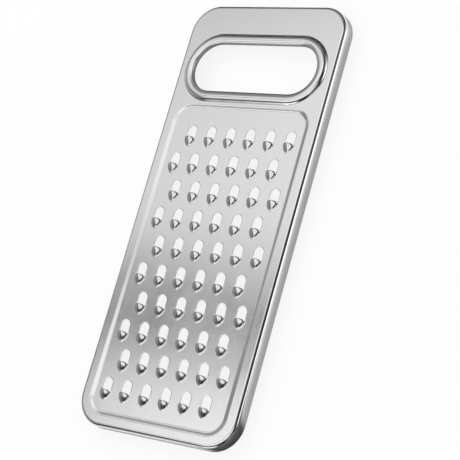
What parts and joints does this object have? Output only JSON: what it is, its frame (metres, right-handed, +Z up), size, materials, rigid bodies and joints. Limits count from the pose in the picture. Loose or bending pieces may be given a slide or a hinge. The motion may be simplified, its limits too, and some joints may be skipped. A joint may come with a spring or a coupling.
{
  "type": "flat grater",
  "caption": "Flat hand grater pressed from steel sheet: staggered punched teeth in a shallow field, a turned-down wired rim and an oblong hand slot with a rolled bead.",
  "frame": {"origin": "middle of the outline, on the plane that the rim stands on", "axes": "+Z up out of the toothed side, +Y along the length towards the hand slot, +X across the width"},
  "size_m": [0.108, 0.26, 0.012],
  "materials": {
    "sheet_steel": "satin",
    "wire_steel": "drawn"
  },
  "bodies": {
    "root": {"grater_sheet": "sheet_steel", "rim_wire": "wire_steel", "grip_wire": "wire_steel"}
  },
  "joints": []
}
